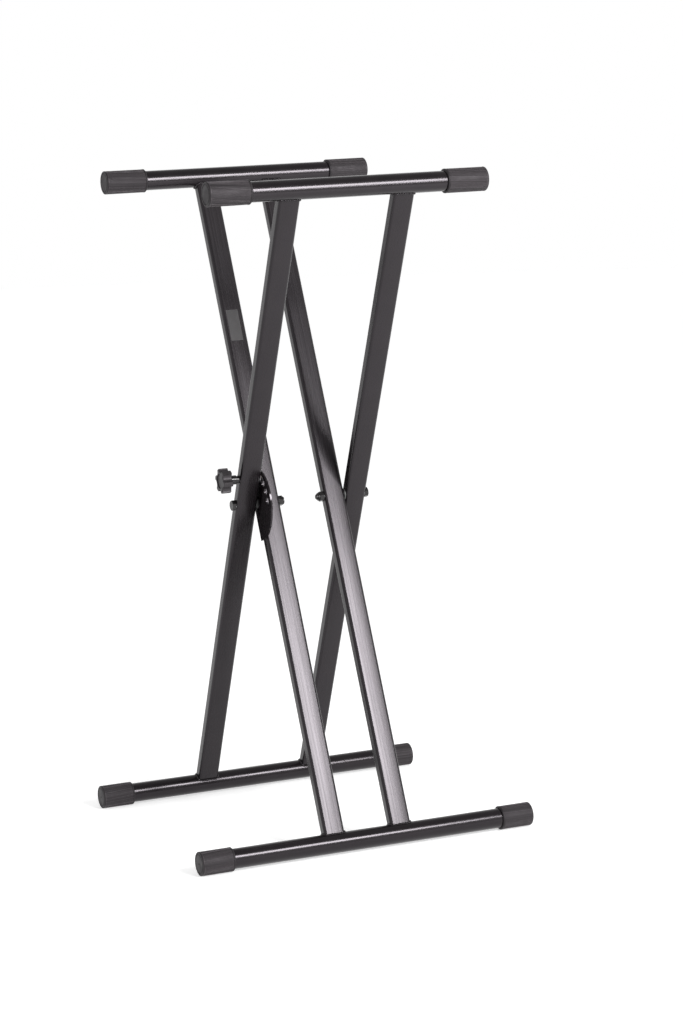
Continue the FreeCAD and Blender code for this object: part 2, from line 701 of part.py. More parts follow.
make_ring("lock_guide", size("guide_diameter") / 2, "sizes.guide_diameter / 2",
          size("collar_nose_diameter") / 2 + size("collar_fit"),
          "sizes.collar_nose_diameter / 2 + sizes.collar_fit", "sizes.guide_length", at_lock(0))
make_ring("lock_insert", size("insert_diameter") / 2, "sizes.insert_diameter / 2",
          bore_radius, BORE, "sizes.insert_length", at_lock(size("leg_width") - size("insert_length")))


def make_lock_collar():
    """The neck behind the knob. Its shoulder comes up to the leg when the lock is screwed in,
    and its narrower nose slides in the guide."""
    body = new_body("lock_collar")
    profile = new_sketch(body, "YZ_Plane", "lock_collar_profile")
    bore = bolt_radius + size("press_fit")
    neck, nose = size("collar_diameter") / 2, size("collar_nose_diameter") / 2
    shoulder = size("knob_standoff") - size("lock_travel") - play
    end = size("knob_standoff") + size("collar_in_leg")
    bore_f = "sizes.bolt_diameter / 2 + sizes.press_fit"
    shoulder_f = "sizes.knob_standoff - sizes.lock_travel - sizes.side_play"
    end_f = "sizes.knob_standoff + sizes.collar_in_leg"
    add_outline(profile, [
        ((0, bore), (None, bore_f)),
        ((0, neck), (None, "sizes.collar_diameter / 2")),
        ((shoulder, neck), (shoulder_f, "sizes.collar_diameter / 2")),
        ((shoulder, nose), (shoulder_f, "sizes.collar_nose_diameter / 2")),
        ((end, nose), (end_f, "sizes.collar_nose_diameter / 2")),
        ((end, bore), (end_f, bore_f)),
    ])
    revolve(body, profile)
    return keep(body, "lock_collar", at_lock(-size("knob_standoff")))


make_lock_collar()


def make_lock_bolt():
    """A bolt with its hexagon head held in the knob and its tip just inside the leg's wall."""
    body = new_body("lock_bolt")
    back = size("knob_standoff")
    head = new_sketch(body, "XZ_Plane", "lock_bolt_head")
    add_hexagon(head, size("lock_head_flats"), "sizes.lock_head_flats")
    pad(body, head, "sizes.lock_head_height")
    length = back + size("leg_width") - size("side_play")
    point = size("bolt_point")
    shank = new_sketch(body, "YZ_Plane", "lock_bolt_shank")
    length_f = "(sizes.knob_standoff + sizes.leg_width - sizes.side_play)"
    radius_f = "sizes.bolt_diameter / 2"
    add_outline(shank, [
        ((0, 0), (None, None)),
        ((0, bolt_radius), (None, radius_f)),
        ((length - point, bolt_radius), (length_f + " - sizes.bolt_point", radius_f)),
        ((length, bolt_radius - point), (length_f, radius_f + " - sizes.bolt_point")),
        ((length, 0), (length_f, None)),
    ])
    revolve(body, shank)
    return keep(body, "lock_bolt", at_lock(-back))


make_lock_bolt()


def make_knob():
    """A round knob with scallops between its lobes, a dished face and a pocket for the bolt's head."""
    body = new_body("lock_knob")
    disc = new_sketch(body, "XZ_Plane", "lock_knob_disc")
    add_circle(disc, size("knob_diameter") / 2, "sizes.knob_diameter / 2")
    pad(body, disc, "sizes.knob_depth")

    scallop = new_sketch(body, "XZ_Plane", "lock_knob_scallop")
    reach, turn = size("scallop_reach"), math.radians(size("knob_turn"))
    add_circle(scallop, size("scallop_radius"), "sizes.scallop_radius",
               x=reach * math.cos(turn), y=reach * math.sin(turn),
               x_expression="sizes.scallop_reach * cos(sizes.knob_turn * 1deg)",
               y_expression="sizes.scallop_reach * sin(sizes.knob_turn * 1deg)")
    first = cut_through(body, scallop)
    pattern = body.newObject("PartDesign::PolarPattern", "PolarPattern")
    pattern.Originals = [first]
    pattern.Axis = (origin_plane(body, "Y_Axis"), [""])
    pattern.Angle = 360
    pattern.setExpression("Occurrences", "sizes.knob_lobes")
    body.Tip = pattern
    doc.recompute()

    bevel = body.newObject("PartDesign::Chamfer", "Chamfer")
    rims = [index for index, edge in enumerate(pattern.Shape.Edges, start=1)
            if edge.BoundBox.YLength < TOUCHING]
    bevel.Base = (pattern, ["Edge%d" % index for index in rims])
    bevel.setExpression("Size", "sizes.knob_edge")
    doc.recompute()

    dish = new_sketch(body, "XZ_Plane", "lock_knob_dish")
    dish.setExpression("AttachmentOffset.Base.z", "sizes.knob_depth")
    add_circle(dish, size("knob_dish_diameter") / 2, "sizes.knob_dish_diameter / 2")
    cut_deep(body, dish, "sizes.knob_dish_depth")

    pocket = new_sketch(body, "XZ_Plane", "lock_knob_pocket")
    add_hexagon(pocket, size("lock_head_flats") + 2 * size("press_fit"),
                "(sizes.lock_head_flats + 2 * sizes.press_fit)")
    cut_deep(body, pocket, "(sizes.lock_head_height + sizes.press_fit)", reverse=True)
    return keep(body, "lock_knob", at_lock(-size("knob_standoff")))


make_knob()


# ---------------------------------------------------------------- check and write

doc.recompute()
for item in doc.Objects:
    if "Invalid" in item.State or "Error" in item.State:
        raise RuntimeError("%s is %s" % (item.Label, item.State))
for part in parts:
    if part.Shape.isNull() or not part.Shape.isValid():
        raise RuntimeError("%s has no valid shape" % part.Label)

os.makedirs("parts", exist_ok=True)
for part in parts:
    part.Shape.exportStep("parts/%s.step" % part.Label)
print("%d parts, height %.1f mm, legs %.1f degrees apart" % (
    len(parts), arm_axis_height + foot_axis_height, 2 * lean))
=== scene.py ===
import json
import math
import random

import bmesh
import bpy
from mathutils import Matrix, Vector


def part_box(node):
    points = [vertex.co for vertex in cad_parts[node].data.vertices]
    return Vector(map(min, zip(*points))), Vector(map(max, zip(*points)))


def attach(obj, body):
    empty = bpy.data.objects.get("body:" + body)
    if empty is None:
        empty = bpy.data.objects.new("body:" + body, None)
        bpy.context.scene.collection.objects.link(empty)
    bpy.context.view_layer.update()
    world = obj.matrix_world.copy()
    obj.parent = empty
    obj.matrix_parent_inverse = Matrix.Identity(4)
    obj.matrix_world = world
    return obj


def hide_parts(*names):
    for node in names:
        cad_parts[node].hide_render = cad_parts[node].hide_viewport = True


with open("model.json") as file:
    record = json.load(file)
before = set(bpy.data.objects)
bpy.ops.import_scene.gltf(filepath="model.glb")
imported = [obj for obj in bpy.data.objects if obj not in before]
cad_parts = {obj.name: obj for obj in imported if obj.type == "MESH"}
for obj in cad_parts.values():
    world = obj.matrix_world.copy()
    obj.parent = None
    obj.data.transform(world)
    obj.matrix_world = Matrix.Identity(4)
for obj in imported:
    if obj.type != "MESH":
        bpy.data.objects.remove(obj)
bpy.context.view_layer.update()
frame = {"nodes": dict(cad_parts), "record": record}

nodes = frame["nodes"]
millimetre = 0.001
white = (1.0, 1.0, 1.0, 1.0)
even = (1.0, 1.0, 1.0)  # a pattern that isn't stretched
print("frame loaded:", len(nodes), "nodes")


camera = {
    "azimuth": 66.28,  # degrees, from the -Y side towards +X
    "elevation": 9.594,
    "roll": -1.829,
    "distance": 4.219,
    "target": (0.0, 0.0636, 0.4435),
    "lens": 103.0,
    "sensor": 36.0,
    "farthest": 50.0,
}


def addCamera():
    azimuth, elevation = math.radians(camera["azimuth"]), math.radians(camera["elevation"])
    back = Vector((math.sin(azimuth) * math.cos(elevation),
                   -math.cos(azimuth) * math.cos(elevation),
                   math.sin(elevation)))
    data = bpy.data.cameras.new("camera")
    data.lens = camera["lens"]
    data.sensor_width = camera["sensor"]
    data.clip_end = camera["farthest"]
    holder = bpy.data.objects.new("camera", data)
    roll = Matrix.Rotation(math.radians(camera["roll"]), 3, "Z")
    turn = back.to_track_quat("Z", "Y").to_matrix() @ roll
    place = Vector(camera["target"]) + back * camera["distance"]
    holder.matrix_world = Matrix.Translation(place) @ turn.to_4x4()
    bpy.context.scene.collection.objects.link(holder)
    bpy.context.scene.camera = holder


lights = {
    "softbox": {"place": (2.8, 1.03, 1.9), "aim": (0.0, 0.0, 0.5), "width": 1.1, "height": 0.9,
                "power": 88.0},
}


def addLight(name, light):
    data = bpy.data.lights.new(name, "AREA")
    data.shape = "RECTANGLE"
    data.size = light["width"]
    data.size_y = light["height"]
    data.energy = light["power"]
    holder = bpy.data.objects.new(name, data)
    place = Vector(light["place"])
    facing = (place - Vector(light["aim"])).to_track_quat("Z", "Y")
    holder.matrix_world = Matrix.Translation(place) @ facing.to_matrix().to_4x4()
    holder.visible_camera = False
    bpy.context.scene.collection.objects.link(holder)


room = {
    "horizon": 1.0,
    "overhead": 0.38,
    "horizonEnds": 0.35,  # height on a unit sphere where the bright band starts to fade
    "overheadStarts": 0.85,
    "backdrop": 1.0,
}


def addRoom():
    world = bpy.data.worlds.new("room")
    world.use_nodes = True
    tree = world.node_tree
    background = tree.nodes["Background"]
    place = tree.nodes.new("ShaderNodeTexCoord")
    split = tree.nodes.new("ShaderNodeSeparateXYZ")
    fade = tree.nodes.new("ShaderNodeMapRange")
    fade.interpolation_type = "SMOOTHSTEP"
    fade.inputs["From Min"].default_value = room["horizonEnds"]
    fade.inputs["From Max"].default_value = room["overheadStarts"]
    fade.inputs["To Min"].default_value = room["horizon"]
    fade.inputs["To Max"].default_value = room["overhead"]
    seen = tree.nodes.new("ShaderNodeLightPath")
    strength = tree.nodes.new("ShaderNodeMix")
    strength.data_type = "FLOAT"
    strength.inputs["B"].default_value = room["backdrop"]
    tree.links.new(place.outputs["Generated"], split.inputs[0])
    tree.links.new(split.outputs["Z"], fade.inputs["Value"])
    tree.links.new(seen.outputs["Is Camera Ray"], strength.inputs["Factor"])
    tree.links.new(fade.outputs["Result"], strength.inputs["A"])
    tree.links.new(strength.outputs["Result"], background.inputs["Strength"])
    background.inputs["Color"].default_value = white
    bpy.context.scene.world = world


floor = {
    "radius": 9.0,
    "segments": 96,
    "colour": (0.82, 0.82, 0.82, 1.0),
    "roughness": 1.0,
    "specular": 0.0,
    "glow": 0.50,  # seen by the camera and in reflections alone
}


def addFloor():
    material = bpy.data.materials.new("floor")
    material.use_nodes = True
    tree = material.node_tree
    shader = tree.nodes["Principled BSDF"]
    shader.inputs["Base Color"].default_value = floor["colour"]
    shader.inputs["Roughness"].default_value = floor["roughness"]
    shader.inputs["Specular IOR Level"].default_value = floor["specular"]
    shader.inputs["Emission Color"].default_value = white
    seen = tree.nodes.new("ShaderNodeLightPath")
    either = tree.nodes.new("ShaderNodeMath")
    either.operation = "MAXIMUM"
    glow = tree.nodes.new("ShaderNodeMath")
    glow.operation = "MULTIPLY"
    glow.inputs[1].default_value = floor["glow"]
    tree.links.new(seen.outputs["Is Camera Ray"], either.inputs[0])
    tree.links.new(seen.outputs["Is Glossy Ray"], either.inputs[1])
    tree.links.new(either.outputs[0], glow.inputs[0])
    tree.links.new(glow.outputs[0], shader.inputs["Emission Strength"])
    shape = bmesh.new()
    bmesh.ops.create_circle(shape, cap_ends=True, segments=floor["segments"], radius=floor["radius"])
    data = bpy.data.meshes.new("floor")
    shape.to_mesh(data)
    shape.free()
    data.materials.append(material)
    plane = bpy.data.objects.new("floor", data)
    bpy.context.scene.collection.objects.link(plane)


addCamera()
for lightName, light in lights.items():
    addLight(lightName, light)
addRoom()
addFloor()
bpy.context.scene.view_settings.view_transform = "Standard"
print("camera, floor and light placed")


noiseBand = (0.3, 0.7)  # the part of a noise pattern's range that a finish spreads over


def startFinish(name, settings):
    material = bpy.data.materials.new(name)
    material.use_nodes = True
    tree = material.node_tree
    shader = tree.nodes["Principled BSDF"]
    shader.inputs["IOR"].default_value = settings["ior"]
    shader.inputs["Metallic"].default_value = settings.get("metallic", 0.0)
    shader.inputs["Specular Tint"].default_value = settings.get("tint", white)
    return material, tree, shader


def addPattern(tree, stretch, scale, detail, turn=0.0):
    place = tree.nodes.new("ShaderNodeTexCoord")
    mapping = tree.nodes.new("ShaderNodeMapping")
    mapping.vector_type = "TEXTURE"
    mapping.inputs["Rotation"].default_value = (0.0, turn, 0.0)
    mapping.inputs["Scale"].default_value = stretch
    noise = tree.nodes.new("ShaderNodeTexNoise")
    noise.inputs["Scale"].default_value = scale
    noise.inputs["Detail"].default_value = detail
    tree.links.new(place.outputs["Object"], mapping.inputs["Vector"])
    tree.links.new(mapping.outputs["Vector"], noise.inputs["Vector"])
    return noise.outputs["Fac"]


def spreadRoughness(tree, shader, pattern, low, high):
    spread = tree.nodes.new("ShaderNodeMapRange")
    spread.inputs["From Min"].default_value = noiseBand[0]
    spread.inputs["From Max"].default_value = noiseBand[1]
    spread.inputs["To Min"].default_value = low
    spread.inputs["To Max"].default_value = high
    tree.links.new(pattern, spread.inputs["Value"])
    tree.links.new(spread.outputs["Result"], shader.inputs["Roughness"])


def spreadColour(tree, shader, pattern, dark, light):
    ramp = tree.nodes.new("ShaderNodeValToRGB")
    ramp.color_ramp.elements[0].position = noiseBand[0]
    ramp.color_ramp.elements[0].color = dark
    ramp.color_ramp.elements[1].position = noiseBand[1]
    ramp.color_ramp.elements[1].color = light
    tree.links.new(pattern, ramp.inputs["Fac"])
    tree.links.new(ramp.outputs["Color"], shader.inputs["Base Color"])
    return ramp.outputs["Color"]


def addRelief(tree, shader, pattern, depth, strength, under=None):
    relief = tree.nodes.new("ShaderNodeBump")
    relief.inputs["Distance"].default_value = depth
    relief.inputs["Strength"].default_value = strength
    tree.links.new(pattern, relief.inputs["Height"])
    if under is not None:
        tree.links.new(under.outputs["Normal"], relief.inputs["Normal"])
    tree.links.new(relief.outputs["Normal"], shader.inputs["Normal"])
    return relief


def addSurface(tree, shader, settings):
    # clouded colour and gloss with a fine grain, the finish that most small pieces share
    clouds = addPattern(tree, even, settings["cloudScale"], settings["cloudDetail"])
    spreadRoughness(tree, shader, clouds, *settings["roughness"])
    grain = addPattern(tree, even, settings["grainScale"], settings["grainDetail"])
    addRelief(tree, shader, grain, settings["grainDepth"], settings["grainStrength"])
    return spreadColour(tree, shader, clouds, settings["dark"], settings["light"])


coat = {
    "ior": 1.5,
    "tint": (0.79, 0.735, 0.785, 1.0),
    "dark": (0.0050, 0.0038, 0.0045, 1.0),
    "light": (0.0080, 0.0062, 0.0072, 1.0),
    "cloudScale": 26.0,
    "cloudDetail": 3.0,
    "peelScale": 420.0,
    "peelDetail": 2.0,
    "peelDepth": 0.00008,
    "grainScale": 1900.0,
    "grainDetail": 1.0,
    "grainDepth": 0.00003,
}
coatKinds = {
    "tubeCoat": {"roughness": (0.18, 0.22), "peel": 0.006},
    "plateCoat": {"roughness": (0.10, 0.16), "peel": 0.05},
    "beadCoat": {"roughness": (0.07, 0.13), "peel": 0.05},
}


def makeCoat(name):
    kind = coatKinds[name]
    material, tree, shader = startFinish(name, coat)
    clouds = addPattern(tree, even, coat["cloudScale"], coat["cloudDetail"])
    spreadColour(tree, shader, clouds, coat["dark"], coat["light"])
    spreadRoughness(tree, shader, clouds, *kind["roughness"])
    skin = addPattern(tree, even, coat["peelScale"], coat["peelDetail"])
    relief = addRelief(tree, shader, skin, coat["peelDepth"], kind["peel"])
    grain = addPattern(tree, even, coat["grainScale"], coat["grainDetail"])
    addRelief(tree, shader, grain, coat["grainDepth"], kind["peel"], relief)
    return material


legCoat = {
    "roughness": (0.21, 0.30),
    "streakStretch": (1.0, 1.0, 90.0),
    "streakScale": 620.0,
    "streakDetail": 3.0,
    "streakDepth": 0.00005,
    "streaks": 0.18,
    "crown": 2.6,  # how far the wide faces bulge, in metres at a metre from their middle
    "crownDepth": 1.0,
    "crownStrength": 1.0,
    "grainStrength": 0.1,
}


def addCrown(tree, centre):
    # the wide faces of a drawn tube bulge a little across their width
    place = tree.nodes.new("ShaderNodeTexCoord")
    split = tree.nodes.new("ShaderNodeSeparateXYZ")
    across = tree.nodes.new("ShaderNodeMath")
    across.operation = "SUBTRACT"
    across.inputs[1].default_value = centre
    square = tree.nodes.new("ShaderNodeMath")
    square.operation = "MULTIPLY"
    bulge = tree.nodes.new("ShaderNodeMath")
    bulge.operation = "MULTIPLY"
    bulge.inputs[1].default_value = -legCoat["crown"]
    tree.links.new(place.outputs["Object"], split.inputs[0])
    tree.links.new(split.outputs["Y"], across.inputs[0])
    tree.links.new(across.outputs[0], square.inputs[0])
    tree.links.new(across.outputs[0], square.inputs[1])
    tree.links.new(square.outputs[0], bulge.inputs[0])
    return bulge.outputs[0]


def makeLegCoat(name, centre, turn):
    material, tree, shader = startFinish(name, coat)
    clouds = addPattern(tree, even, coat["cloudScale"], coat["cloudDetail"])
    spreadColour(tree, shader, clouds, coat["dark"], coat["light"])
    streaks = addPattern(tree, legCoat["streakStretch"], legCoat["streakScale"],
                         legCoat["streakDetail"], turn)
    spreadRoughness(tree, shader, streaks, *legCoat["roughness"])
    crown = addCrown(tree, centre)
    relief = addRelief(tree, shader, crown, legCoat["crownDepth"], legCoat["crownStrength"])
    relief = addRelief(tree, shader, streaks, legCoat["streakDepth"], legCoat["streaks"], relief)
    grain = addPattern(tree, even, coat["grainScale"], coat["grainDetail"])
    addRelief(tree, shader, grain, coat["grainDepth"], legCoat["grainStrength"], relief)
    return material


rubber = {
    "ior": 1.48,
    "tint": (0.90, 0.84, 0.89, 1.0),
    "dark": (0.007, 0.006, 0.0066, 1.0),
    "light": (0.013, 0.0112, 0.0123, 1.0),
    "paintedCrestLight": (0.092, 0.081, 0.087, 1.0),  # painted highlight on the tops of the ribs
    "cloudScale": 90.0,
    "cloudDetail": 4.0,
    "grainScale": 1500.0,
    "grainDetail": 3.0,
    "grainDepth": 0.0001,
    "grainStrength": 0.5,
    "roughness": (0.48, 0.66),
}


def makeRubber(name):
    material, tree, shader = startFinish(name, rubber)
    valleys = addSurface(tree, shader, rubber)
    # the tops of the ribs get a lighter colour, a painted highlight, against the darker rubber in the valleys
    ribs = tree.nodes.new("ShaderNodeAttribute")
    ribs.attribute_name = "paintedCrestLight"
    paintedRibLight = tree.nodes.new("ShaderNodeMix")
    paintedRibLight.data_type = "RGBA"
    paintedRibLight.inputs[7].default_value = rubber["paintedCrestLight"]  # the mix's second colour
    tree.links.new(ribs.outputs["Fac"], paintedRibLight.inputs[0])
    tree.links.new(valleys, paintedRibLight.inputs[6])
    tree.links.new(paintedRibLight.outputs[2], shader.inputs["Base Color"])
    return material


plastic = {
    "ior": 1.49,
    "tint": (0.92, 0.86, 0.91, 1.0),
    "dark": (0.016, 0.0145, 0.0155, 1.0),
    "light": (0.024, 0.0215, 0.023, 1.0),
    "cloudScale": 160.0,
    "cloudDetail": 3.0,
    "grainScale": 2600.0,
    "grainDetail": 2.0,
    "grainDepth": 0.00008,
    "grainStrength": 0.4,
    "roughness": (0.40, 0.52),
}


def makePlastic(name):
    material, tree, shader = startFinish(name, plastic)
    addSurface(tree, shader, plastic)
    return material


hardware = {  # bolts, nuts, bushes, washers and the lock's collar
    "black_zinc": {"ior": 1.5, "metallic": 0.3, "dark": (0.008, 0.0075, 0.008, 1.0),
                   "light": (0.020, 0.018, 0.019, 1.0), "roughness": (0.16, 0.30)},
    "yellow_zinc": {"ior": 1.6, "metallic": 1.0, "dark": (0.50, 0.33, 0.13, 1.0),
                    "light": (0.78, 0.60, 0.30, 1.0), "roughness": (0.22, 0.40)},
    "plain_steel": {"ior": 1.6, "metallic": 1.0, "dark": (0.30, 0.30, 0.31, 1.0),
                    "light": (0.50, 0.50, 0.51, 1.0), "roughness": (0.28, 0.45)},
    "nylon": {"ior": 1.5, "metallic": 0.0, "dark": (0.05, 0.05, 0.05, 1.0),
              "light": (0.075, 0.075, 0.075, 1.0), "roughness": (0.40, 0.55)},
}
hardwareGrain = {
    "cloudScale": 220.0,
    "cloudDetail": 4.0,
    "grainScale": 1800.0,
    "grainDetail": 2.0,
    "grainDepth": 0.00006,
    "grainStrength": 0.35,
}


def makeHardware(name):
    settings = {**hardwareGrain, **hardware[name]}
    material, tree, shader = startFinish(name, settings)
    addSurface(tree, shader, settings)
    return material


def middle(node):
    low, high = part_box(node)
    return (low + high) / 2


def span(node):
    low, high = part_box(node)
    return high - low


frames = {
    name: {"arm": middle(name + "_arm_tube"), "foot": middle(name + "_foot_tube"),
           "front": middle(name + "_front_leg").y, "rear": middle(name + "_rear_leg").y}
    for name in ("inner", "outer")
}
for lines in frames.values():
    along = (lines["arm"] - lines["foot"]).normalized()
    lines["along"] = along
    lines["face"] = Vector((along.z, 0.0, -along.x))  # out of the wide face, towards +X
    lines["turn"] = math.atan2(along.x, along.z)
tubeRadius = span("inner_foot_tube").z / 2
legWidth = span("inner_front_leg").y

tubeCoat = makeCoat("tubeCoat")
legCoats = {}
for name, lines in frames.items():
    for place in ("front", "rear"):
        leg = name + "_" + place + "_leg"
        legCoats[leg] = makeLegCoat(leg + "_coat", lines[place], lines["turn"])
plateCoat = makeCoat("plateCoat")
beadCoat = makeCoat("beadCoat")
sleeveRubber = makeRubber("sleeveRubber")
knobPlastic = makePlastic("knobPlastic")
hardwareFinishes = {name: makeHardware(name) for name in hardware}
print("finishes made")


sharpFrom = 35.0  # degrees by which an edge turns where shading stays sharp


def finishPiece(name, shape, material, body, replaced=(), sharp=sharpFrom):
    limit = math.radians(sharp)
    for face in shape.faces:
        face.smooth = True
    for edge in shape.edges:
        edge.smooth = edge.calc_face_angle(0.0) < limit
    data = bpy.data.meshes.new(name)
    shape.to_mesh(data)
    shape.free()
    data.materials.append(material)
    piece = bpy.data.objects.new(name, data)
    bpy.context.scene.collection.objects.link(piece)
    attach(piece, body)
    if replaced:
        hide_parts(*replaced)


sleeve = {
    "ribs": 66,
    "ribHeight": 0.48 * millimetre,
    "ribSlope": 0.22 * millimetre,
    "ribUnevenness": 0.90,  # share of its height that a rib may lack
    "plainEnd": 3.4 * millimetre,
    "plainLip": 2.6 * millimetre,
    "lip": 0.8 * millimetre,
    "rim": 1.5 * millimetre,
    "rimSegments": 4,
    "endWall": 2.0 * millimetre,
    "bandParts": 9,
    "groove": (12.6 * millimetre, 13.8 * millimetre, 0.6 * millimetre),
    "dimple": (1.6 * millimetre, 0.8 * millimetre),
    "dimpleStep": (0.6, 0.9),  # shares of the dimple's radius and depth at its one inner point
    "boreGap": 0.05 * millimetre,
    "mergeWithin": 0.005 * millimetre,
    "rimWithin": (0.001 * millimetre, 0.01 * millimetre),  # along and out from the end's corner
    "twist": {"outer_arm_sleeve_front": 26.0, "inner_arm_sleeve_front": 7.0, "outer_arm_sleeve_rear": 9.0,
              "inner_foot_sleeve_front": -13.0, "outer_foot_sleeve_front": -9.0},
    "plainTwist": 3.0,
    "wander": 0.9,  # degrees by which the ribs stray
    "wanderAround": 3.1,
    "wanderAlong": 5.0,
    "wanderShift": 1.7,
    "strayStep": 0.8,
}


def sleeveProfile(radius, length, dimple):
    valley = radius - sleeve["ribHeight"]
    grooveIn, grooveOut, grooveDepth = sleeve["groove"]
    bandStart, bandEnd = sleeve["plainEnd"], length - sleeve["plainLip"]
    bore = tubeRadius + sleeve["boreGap"]
    points = [(0.0, 0.0)]
    if dimple:
        dimpleRadius, dimpleDepth = sleeve["dimple"]
        stepOut, stepIn = sleeve["dimpleStep"]
        points = [(dimpleDepth, 0.0), (dimpleDepth * stepIn, dimpleRadius * stepOut), (0.0, dimpleRadius)]
    points += [(0.0, grooveIn), (grooveDepth, grooveIn), (grooveDepth, grooveOut), (0.0, grooveOut),
               (0.0, radius), (bandStart - sleeve["ribHeight"], radius)]
    for part in range(sleeve["bandParts"] + 1):
        points.append((bandStart + (bandEnd - bandStart) * part / sleeve["bandParts"], valley))
    points += [(bandEnd + sleeve["ribHeight"], radius), (length - sleeve["lip"], radius),
               (length, radius - sleeve["lip"]), (length, bore), (sleeve["endWall"], bore),
               (sleeve["endWall"], 0.0)]
    return points


def spinProfile(points, steps):
    shape = bmesh.new()
    corners = [shape.verts.new((0.0, along, out)) for along, out in points]
    sides = [shape.edges.new(pair) for pair in zip(corners, corners[1:])]
    bmesh.ops.spin(shape, geom=corners + sides, cent=(0, 0, 0), axis=(0, 1, 0),
                   angle=2 * math.pi, steps=steps, use_merge=True)
    bmesh.ops.remove_doubles(shape, verts=shape.verts, dist=sleeve["mergeWithin"])
    bmesh.ops.recalc_face_normals(shape, faces=shape.faces)
    return shape


def raiseRibs(shape, length, radius):
    step = math.pi / sleeve["ribs"]
    strips = []
    for face in shape.faces:
        centre = face.calc_center_median()
        if not sleeve["plainEnd"] < centre.y < length - sleeve["plainLip"]:
            continue
        if math.hypot(centre.x, centre.z) < radius - 2 * sleeve["ribHeight"]:
            continue
        if int((math.atan2(centre.x, centre.z) + 2 * math.pi) / step) % 2:
            strips.append(face)
    bmesh.ops.inset_region(shape, faces=strips, thickness=sleeve["ribSlope"],
                           depth=sleeve["ribHeight"], use_even_offset=True)


def varyRibsAndMarkPaintedTops(shape, length, radius, seed):
    # each rib has its own height, and its top is marked for the lighter colour that paints a highlight there
    draw = random.Random(seed)
    heights = [1 - sleeve["ribUnevenness"] * draw.random() for _ in range(sleeve["ribs"])]
    paintedCrestLight = shape.verts.layers.float.new("paintedCrestLight")
    valley = radius - sleeve["ribHeight"]
    for vert in shape.verts:
        reach = math.hypot(vert.co.x, vert.co.z)
        if not sleeve["plainEnd"] - sleeve["ribHeight"] < vert.co.y < length - sleeve["plainLip"]:
            continue
        if reach < valley + sleeve["ribHeight"] / 2:
            continue
        turn = (math.atan2(vert.co.x, vert.co.z) / (2 * math.pi)) % 1.0
        height = heights[int(turn * sleeve["ribs"]) % sleeve["ribs"]]
        vert[paintedCrestLight] = height
        scale = (valley + sleeve["ribHeight"] * height) / reach
        vert.co = Vector((vert.co.x * scale, vert.co.y, vert.co.z * scale))


def twistRibs(shape, length, twist, seed):
    band = length - sleeve["plainEnd"]
    for vert in shape.verts:
        reach = max(0.0, vert.co.y - sleeve["plainEnd"]) / band
        around = math.atan2(vert.co.x, vert.co.z)
        sway = math.sin(sleeve["wanderAround"] * around + seed)
        drift = math.sin(sleeve["wanderAlong"] * reach + sleeve["wanderShift"] * seed)
        stray = sleeve["wander"] * sway * drift * reach
        turn = math.radians(twist * reach + stray)
        vert.co = Matrix.Rotation(turn, 3, "Y") @ vert.co


def addSleeve(node, number):
    low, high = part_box(node)
    length = high.y - low.y
    radius = (high.z - low.z) / 2
    shape = spinProfile(sleeveProfile(radius, length, "foot" in node), 2 * sleeve["ribs"])
    along, out = sleeve["rimWithin"]
    rim = [edge for edge in shape.edges
           if all(abs(v.co.y) < along and abs(math.hypot(v.co.x, v.co.z) - radius) < out for v in edge.verts)]
    bmesh.ops.bevel(shape, geom=rim, offset=sleeve["rim"], offset_type="OFFSET", affect="EDGES",
                    segments=sleeve["rimSegments"], profile=0.5, material=-1)
    raiseRibs(shape, length, radius)
    varyRibsAndMarkPaintedTops(shape, length, radius, number)
    twistRibs(shape, length, sleeve["twist"].get(node, sleeve["plainTwist"]),
              sleeve["strayStep"] * number)
    centre = (low + high) / 2
    turned = Matrix.Identity(4)
    start = low.y
    if node.endswith("rear"):
        turned = Matrix.Rotation(math.pi, 4, "Z")
        start = high.y
    place = Matrix.Translation((centre.x, start, centre.z))
    bmesh.ops.transform(shape, matrix=place @ turned, verts=shape.verts)
    body = node.split("_")[0] + "_frame"
    finishPiece("ribbed_" + node, shape, sleeveRubber, body, (node,))


sleeveNodes = sorted(name for name in nodes if "sleeve" in name)
for number, node in enumerate(sleeveNodes):
    addSleeve(node, number)
print("sleeves made:", len(sleeveNodes))


bead = {
    "legDepth": 16.0 * millimetre,
    "corner": 4.0 * millimetre,
    "radius": 1.75 * millimetre,
    "out": 0.5 * millimetre,
    "up": 0.5 * millimetre,
    "ripple": 0.30,
    "ripplePitch": 2.5 * millimetre,
    "partsPerRipple": 5,
    "sides": 10,
    "lumps": 0.10,
    "lumpWaves": (4, 6),  # half waves in one round of the leg
    "seeds": {"arm": 0.6, "foot": 2.1},
    "seedStep": 1.3,
    "mergeWithin": 0.01 * millimetre,
    "sharp": 60.0,
    "step": 0.002,  # share of the way round over which the bead's heading is taken
}


def roundedOutline(share, depth, width, corner):
    # point and outward direction at a share of the way round a rectangle with round corners
    straightAcross, straightAlong = depth - 2 * corner, width - 2 * corner
    arc = math.pi * corner / 2
    pieces = (straightAlong, arc, straightAcross, arc) * 2
    reach = (share % 1.0) * sum(pieces)
    for index, length in enumerate(pieces):
        if reach <= length:
            break
        reach -= length
    side = index // 2
    facing = math.radians(90.0 * side)
    halves = (depth / 2, straightAlong / 2) if side % 2 == 0 else (width / 2, straightAcross / 2)
    if index % 2 == 0:
        local = (halves[0], reach - halves[1])
        bend = 0.0
    else:
        bend = reach / corner
        local = (halves[0] - corner + corner * math.cos(bend), halves[1] + corner * math.sin(bend))
    turned = Matrix.Rotation(facing, 2)
    return turned @ Vector(local), turned @ Vector((math.cos(bend), math.sin(bend)))


def beadCentre(share, lines, end, legY):
    point, outward = roundedOutline(share, bead["legDepth"], legWidth, bead["corner"])
    spot = point + outward * bead["out"]
    tube = lines[end]
    toMiddle = lines["along"] * (-1.0 if end == "arm" else 1.0)
    climb = math.sqrt(max(0.0, tubeRadius ** 2 - spot.x ** 2)) + bead["up"]
    return Vector((tube.x, legY, tube.z)) + toMiddle * climb + lines["face"] * spot.x + Vector((0, spot.y, 0))


